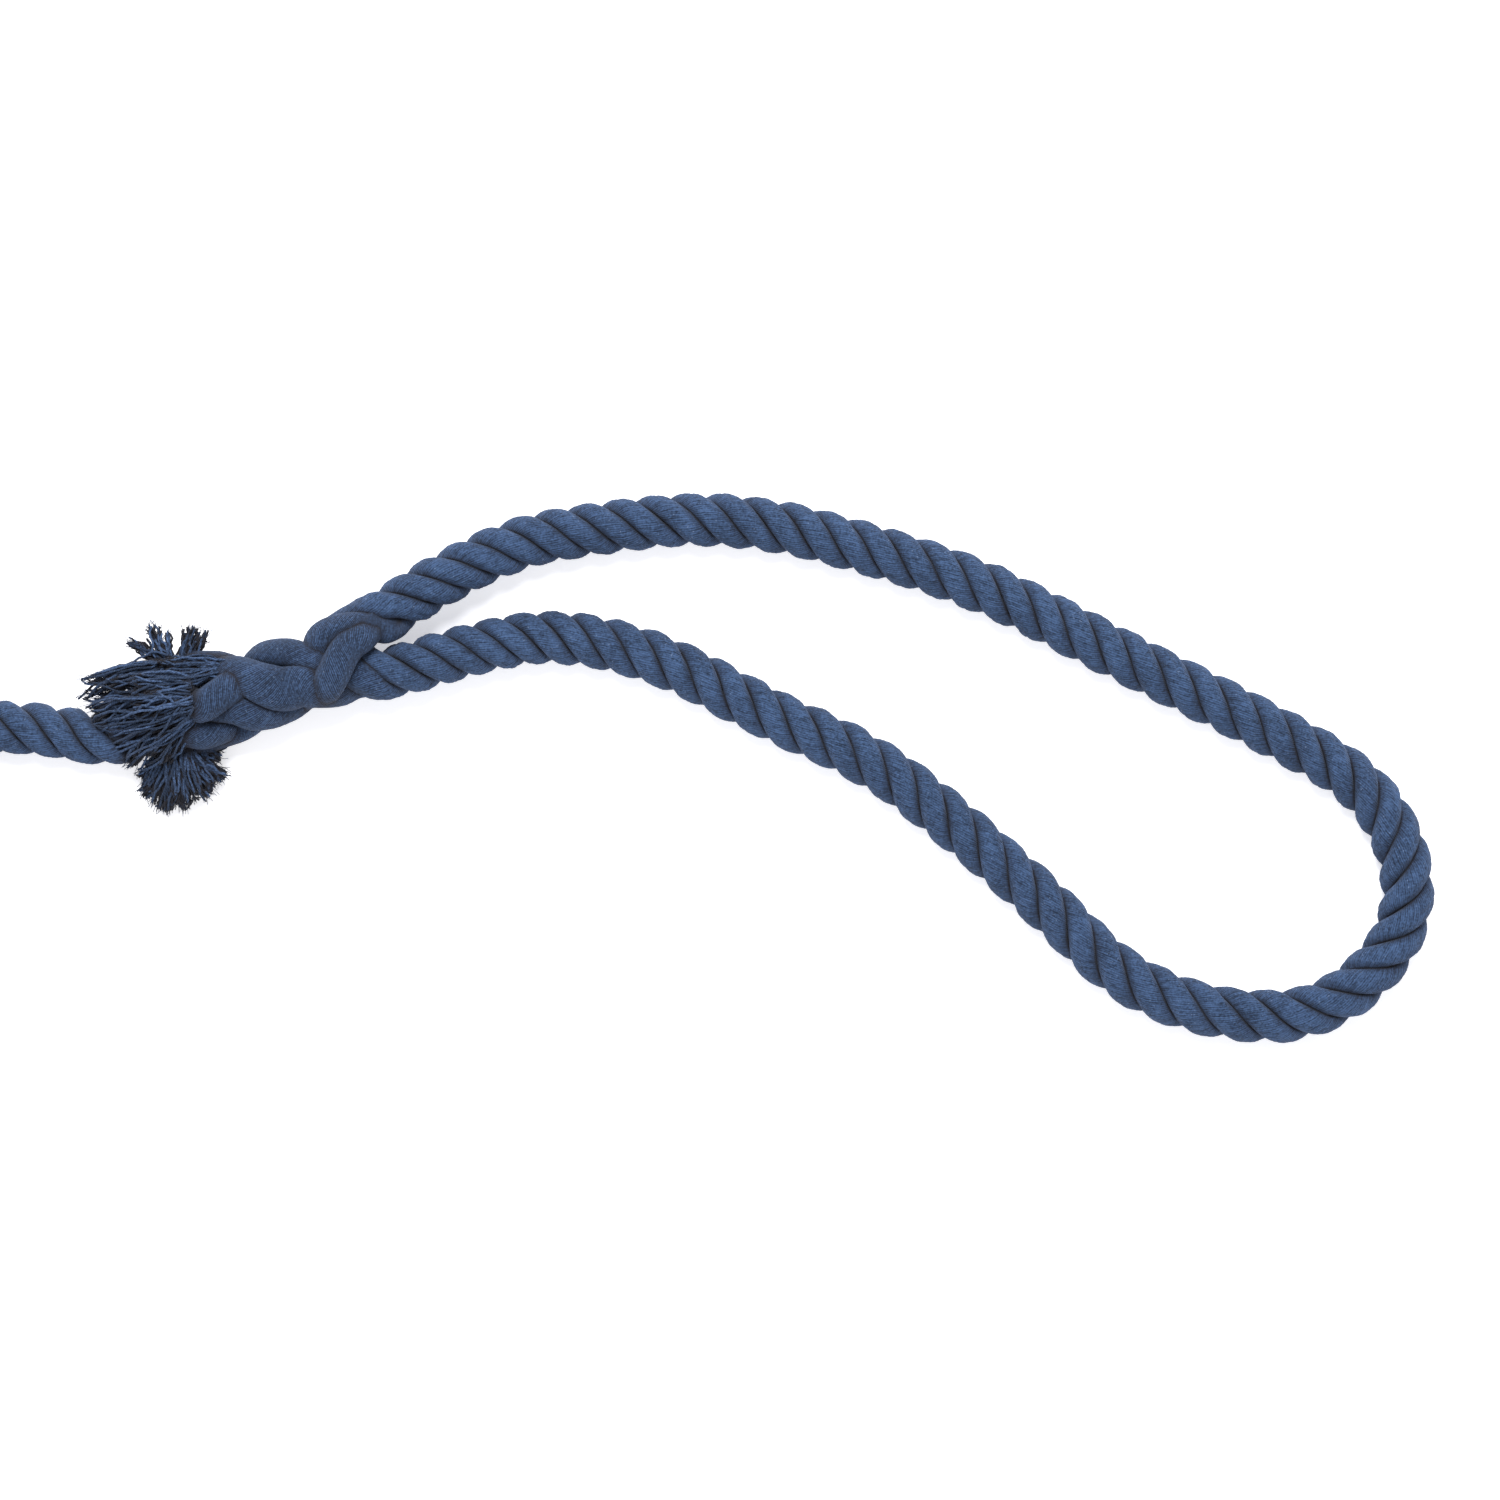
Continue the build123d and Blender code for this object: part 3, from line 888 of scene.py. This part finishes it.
def fine_fibre(rng, path):
    """A fine fibre that stands off the end of a yarn."""
    start = path[-3] + rng.normal(0, 0.1 * MM, 3)
    end = path[-1] + unit(path[-1] - path[-3]) * rng.uniform(0.2, 1.0) * MM + rng.normal(0, 0.55 * MM, 3)
    bend = (start + end) / 2 + rng.normal(0, 0.25 * MM, 3)
    fibre = bezier((start, bend, bend, end), np.linspace(0, 1, 4))
    fibre[:, 2] = np.maximum(fibre[:, 2], FINE_LOWEST)
    return tube_rings(fibre, FINE_R, 3)


def frayed_end(name, bundles, rng):
    """A tuft: bundles of yarns, each with a narrower tip and two fine fibres."""
    rings = []
    for spec in bundles:
        for path in bundle(rng, *spec):
            radius = np.full(len(path), YARN_D / 2 * rng.uniform(0.8, 1.15))
            radius[-1] *= 0.75
            rings.append(tube_rings(path, radius, YARN_SIDES))
            rings += [fine_fibre(rng, path) for _ in range(2)]
    return many_tubes(name, rings, frayed, cover_of(rings))


tufts = [
    frayed_end(name + "_yarns", bundles, np.random.default_rng(40 + number))
    for number, (name, bundles) in enumerate(FRAYS.items())
]

# A strand is in shade where a yarn is within this reach of a place above it, and less so further off
SHADE_UP, SHADE_REACH, SHADE_FALL = 2.0 * MM, 3.4 * MM, 0.5


def read_places(piece):
    places = np.empty(len(piece.data.vertices) * 3, np.float32)
    piece.data.vertices.foreach_get("co", places)
    return places.reshape(-1, 3).astype(float)


def shade_under_tufts():
    """Paint the tufts' shadow onto the strands: darken them where the tufts' yarns lie over them."""
    places = np.concatenate([read_places(tuft)[::YARN_SIDES] for tuft in tufts])
    tree = tree_of(places)
    low, high = places.min(0) - SHADE_REACH, places.max(0) + SHADE_REACH
    for strand in strands:
        spots = read_places(strand) + np.array((0, 0, SHADE_UP))
        painted_shade = strand.data.attributes["painted_shade"].data
        for i in np.flatnonzero(((spots > low) & (spots < high)).all(1)):
            share = tree.find(spots[i])[2] / SHADE_REACH
            if share < 1:
                painted_shade[i].value = max(painted_shade[i].value, 1 - SHADE_FALL * share * share)


shade_under_tufts()

# -- twine
TWINE_R = 0.95 * MM
TWINE_SIDES = 10
TWINE_LAY = 7 * MM
TWINE_SUNK = 0.7 * TWINE_R  # from the coil's crests to the twine's middle: it bites into them
COIL_Q = 100  # past this on the splice's line comes the coil


def twine_rings(path, radius):
    """Two-ply twine: each ring is a figure with two lobes, which turns along the path."""
    rings = tube_rings(path, radius, TWINE_SIDES)
    middle = rings.mean(1, keepdims=True)
    along = along_line(path)
    turn = np.arange(TWINE_SIDES) / TWINE_SIDES * 2 * np.pi
    lobes = 0.86 + 0.16 * np.abs(np.cos(turn[None] - (2 * np.pi * along / TWINE_LAY)[:, None]))
    return middle + (rings - middle) * lobes[..., None]


def outline_round(places, radius):
    """The tight loop round circles at these places, as close points in order."""
    turn = np.linspace(0, 2 * np.pi, 48, endpoint=False)
    ring = np.stack([np.cos(turn), np.sin(turn)], 1) * radius
    cloud = sorted(map(tuple, (places[:, None] + ring[None]).reshape(-1, 2).tolist()))
    loop = []
    for run in (cloud, cloud[::-1]):
        part = []
        for p in run:
            while len(part) > 1:
                (ax, ay), (bx, by) = part[-2:]
                if (bx - ax) * (p[1] - ay) - (by - ay) * (p[0] - ax) > 0:
                    break
                part.pop()
            part.append(p)
        loop += part[:-1]
    return np.array(loop + loop[:1])


def coil_frame(angle):
    """The middle of the coil's turns at this angle, and the directions out of the coil and round it."""
    turn = math.radians(angle)
    out = np.array((math.cos(turn), math.sin(turn), 0.0))
    round_it = np.array((-math.sin(turn), math.cos(turn), 0.0))
    middle = np.array((COIL_CENTRE[0], COIL_CENTRE[1], 0.0)) + out * COIL_MEAN_R
    return middle, out, round_it


def tie_outline(angle):
    """The twine's loop round the coil's turns at this angle: how far out from the middle, and how high."""
    middle, out, round_it = coil_frame(angle)
    away = rope_centre - middle
    away[:, 2] = rope_centre[:, 2]
    here = (np.abs(away @ round_it) < COIL_STEP) & (np.abs(away @ out) < 2.5 * ROPE_D) & (splice_q > COIL_Q)
    places = np.stack([away[here] @ out, away[here, 2]], 1)
    loop = outline_round(places, CREST_R + TWINE_SUNK)
    loop[:, 1] = np.maximum(loop[:, 1], TWINE_R)
    start = int(np.argmax(loop[:, 1] - 0.001 * loop[:, 0]))
    return np.concatenate([loop[start:-1], loop[: start + 1]])


WRAPS, WRAP_POINTS = 4, 90
WRAP_PITCH = 2.15 * TWINE_R
WRAP_END = 0.02  # of a turn, how far its ends stay from the knot's middle
WRAP_WAVE = (0.15 * MM, 5)  # how unevenly the turns lie, and how fast that changes
# Half of the reef knot, in millimetres out, round and up from its middle. The other is the same, turned
KNOT = [
    (-9.5, 1.0, 0.3), (-4.5, 1.5, 0.9), (0.5, 2.1, 1.9), (3.4, 1.5, 2.3), (3.6, -1.2, 1.5),
    (0.5, -2.0, 0.6), (-3.6, -1.5, 1.9), (-7.0, -2.6, 2.6), (-11.0, -4.4, 1.9),
]
KNOT_OUT, KNOT_UP = 1.0, 0.6 * MM


def coil_tie(name, angle):
    """Four turns of twine round the coil, tied off with a reef knot on top."""
    middle, out, round_it = coil_frame(angle)
    loop = tie_outline(angle)
    round_loop = along_line(loop)
    path = []
    for share in np.linspace(WRAP_END, WRAPS - WRAP_END, WRAP_POINTS * WRAPS):
        x, z = (np.interp((share % 1) * round_loop[-1], round_loop, loop[:, k]) for k in range(2))
        drift = (share - WRAPS / 2) * WRAP_PITCH + WRAP_WAVE[0] * math.sin(WRAP_WAVE[1] * share + angle)
        path.append(middle + out * x + round_it * drift + np.array((0, 0, z)))
    rings = [twine_rings(np.array(path), TWINE_R)]
    top = loop[:, 1].max() + KNOT_UP
    for flip in (1, -1):
        points = []
        for x, y, z in KNOT:
            place = middle + out * (flip * x + KNOT_OUT) * MM + round_it * flip * y * MM
            points.append(place + np.array((0, 0, top + z * MM)))
        rings.append(twine_rings(nurbs_line(points, 8), TWINE_R * 0.95))
    return many_tubes(name, rings, twine, yarns=4, twist=0.14)


ties = [coil_tie(f"coil_tie_{n + 1}_twine", angle) for n, angle in enumerate(TIE_ANGLES)]

# -- the bitter end
WHIP_R = 0.5 * MM
WHIP_NEAR, WHIP_FAR = 4 * MM, 20 * MM  # from the bitter end
WHIP_POINTS = 24  # for each turn
RIDER_PAST = 1.2 * MM  # how far the twine in the grooves goes on past the turns,
RIDER_DIP = 2.2 * MM  # over how far it comes up out of the rope,
RIDER_LOW, RIDER_OVER = 0.72, 0.95 * MM  # from this share of the strands' crests to this far above them
RIDER_APART = 0.075  # and half the angle between its two turns


def round_the_end(at, radius, turn):
    """A path round the bitter end, at these lengths along the rope, distances from its middle and angles."""
    centre = np.stack([np.interp(at, route_steps, rope_centre[:, k]) for k in range(3)], 1)
    up = np.array((0.0, 0.0, 1.0))
    return centre + radius * (np.cos(turn)[:, None] * up + np.sin(turn)[:, None] * rope_side[-1])


def whipping():
    """Tight turns of fine twine round the bitter end, with two over them in each of the rope's grooves."""
    turns = int((WHIP_FAR - WHIP_NEAR) / (2 * WHIP_R))
    at = np.linspace(route_length - WHIP_FAR, route_length - WHIP_NEAR, turns * WHIP_POINTS)
    path = round_the_end(at, CREST_R + 0.15 * MM, np.arange(len(at)) / WHIP_POINTS * 2 * np.pi)
    rings = [tube_rings(path, WHIP_R, 8)]
    at = np.linspace(route_length - WHIP_FAR - RIDER_PAST, route_length - WHIP_NEAR + RIDER_PAST, 30)
    edge = smooth((at - at[0]) / RIDER_DIP) * smooth((at[-1] - at) / RIDER_DIP)
    far = CREST_R * RIDER_LOW + ((1 - RIDER_LOW) * CREST_R + RIDER_OVER) * edge
    for k in range(3):
        phase = np.interp(at, route_steps, rope_phase) + math.radians(60 + 120 * k)
        for shift in (-RIDER_APART, RIDER_APART):
            rings.append(tube_rings(round_the_end(at, far[:, None], phase + shift), WHIP_R * 0.95, 8))
    return many_tubes("end_whipping_twine", rings, twine, yarns=3, twist=0.5)


END_YARNS = 46  # of each strand
END_SPREAD = 2.9 * MM


def bitter_end_yarns(rng):
    """The cut yarns that stand a little out of the rope's end."""
    rings = []
    way = directions(rope_centre[-3:])[-1]
    for k in range(3):
        centre, out, _ = laid_centres(k)
        side = np.cross(way, out[-1])
        for _ in range(END_YARNS):
            turn, far = rng.uniform(0, 2 * np.pi), math.sqrt(rng.random()) * END_SPREAD
            start = centre[-1] + (out[-1] * math.cos(turn) + side * math.sin(turn)) * far - way * 1.5 * MM
            end = start + way * rng.uniform(2.0, 4.2) * MM + (start - rope_centre[-1]) * 0.22
            end += rng.normal(0, 0.25 * MM, 3)
            bend = (start + end) / 2 + rng.normal(0, 0.1 * MM, 3)
            path = bezier((start, bend, bend, end), np.linspace(0, 1, 5))
            rings.append(tube_rings(path, YARN_D / 2, YARN_SIDES))
    return many_tubes("bitter_end_yarns", rings, frayed, cover_of(rings))


whipped = whipping()
end_yarns = bitter_end_yarns(np.random.default_rng(90))

# -- what each piece rides on and replaces
others = [*strands[1:], *tufts, end_yarns, whipped, *ties]
for piece in [strands[0], *others]:
    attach(piece, "root")
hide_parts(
    "eye_rope", "splice_core", "standing_part", "rope_coil", "bitter_end", "tucked_strand_3"
)
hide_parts("tucked_strand_2")
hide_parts("tucked_strand_1")
for number in range(3):
    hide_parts(f"frayed_end_{number + 1}")
    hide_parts(f"coil_tie_{number + 1}")
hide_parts("end_whipping")


# -- stage
def make_stage():
    """A wide white floor, a hair below the rope."""
    bpy.ops.mesh.primitive_plane_add(size=8, location=(0, 0, -0.0002))
    floor = bpy.context.object
    floor.name = "floor"
    material = bpy.data.materials.new("floor")
    material.use_nodes = True
    values = {
        "Base Color": (0.9, 0.9, 0.92, 1), "Roughness": 0.9, "Specular IOR Level": 0.0,
        "Emission Color": (0.97, 0.97, 1.0, 1), "Emission Strength": 0.5,
    }
    for socket, value in values.items():
        material.node_tree.nodes["Principled BSDF"].inputs[socket].default_value = value
    floor.data.materials.append(material)


def area_light(name, place, size, power):
    """A round light that shines towards the frame's origin."""
    data = bpy.data.lights.new(name, "AREA")
    data.shape = "DISK"
    data.size = size
    data.energy = power
    lamp = bpy.data.objects.new(name, data)
    lamp.location = place
    lamp.rotation_euler = (Vector() - Vector(place)).to_track_quat("-Z", "Y").to_euler()
    bpy.context.scene.collection.objects.link(lamp)


def make_world():
    """Even white light from all sides."""
    world = bpy.data.worlds.new("studio")
    world.use_nodes = True
    background = world.node_tree.nodes["Background"].inputs
    background["Color"].default_value = (1, 1, 1, 1)
    background["Strength"].default_value = 0.55
    bpy.context.scene.world = world


make_stage()
area_light("key", (0.0, 1.0, 1.7), 1.0, 44)
area_light("fill", (0.2, -1.0, 1.8), 1.8, 10)
make_world()
bpy.context.scene.view_settings.view_transform = "Standard"
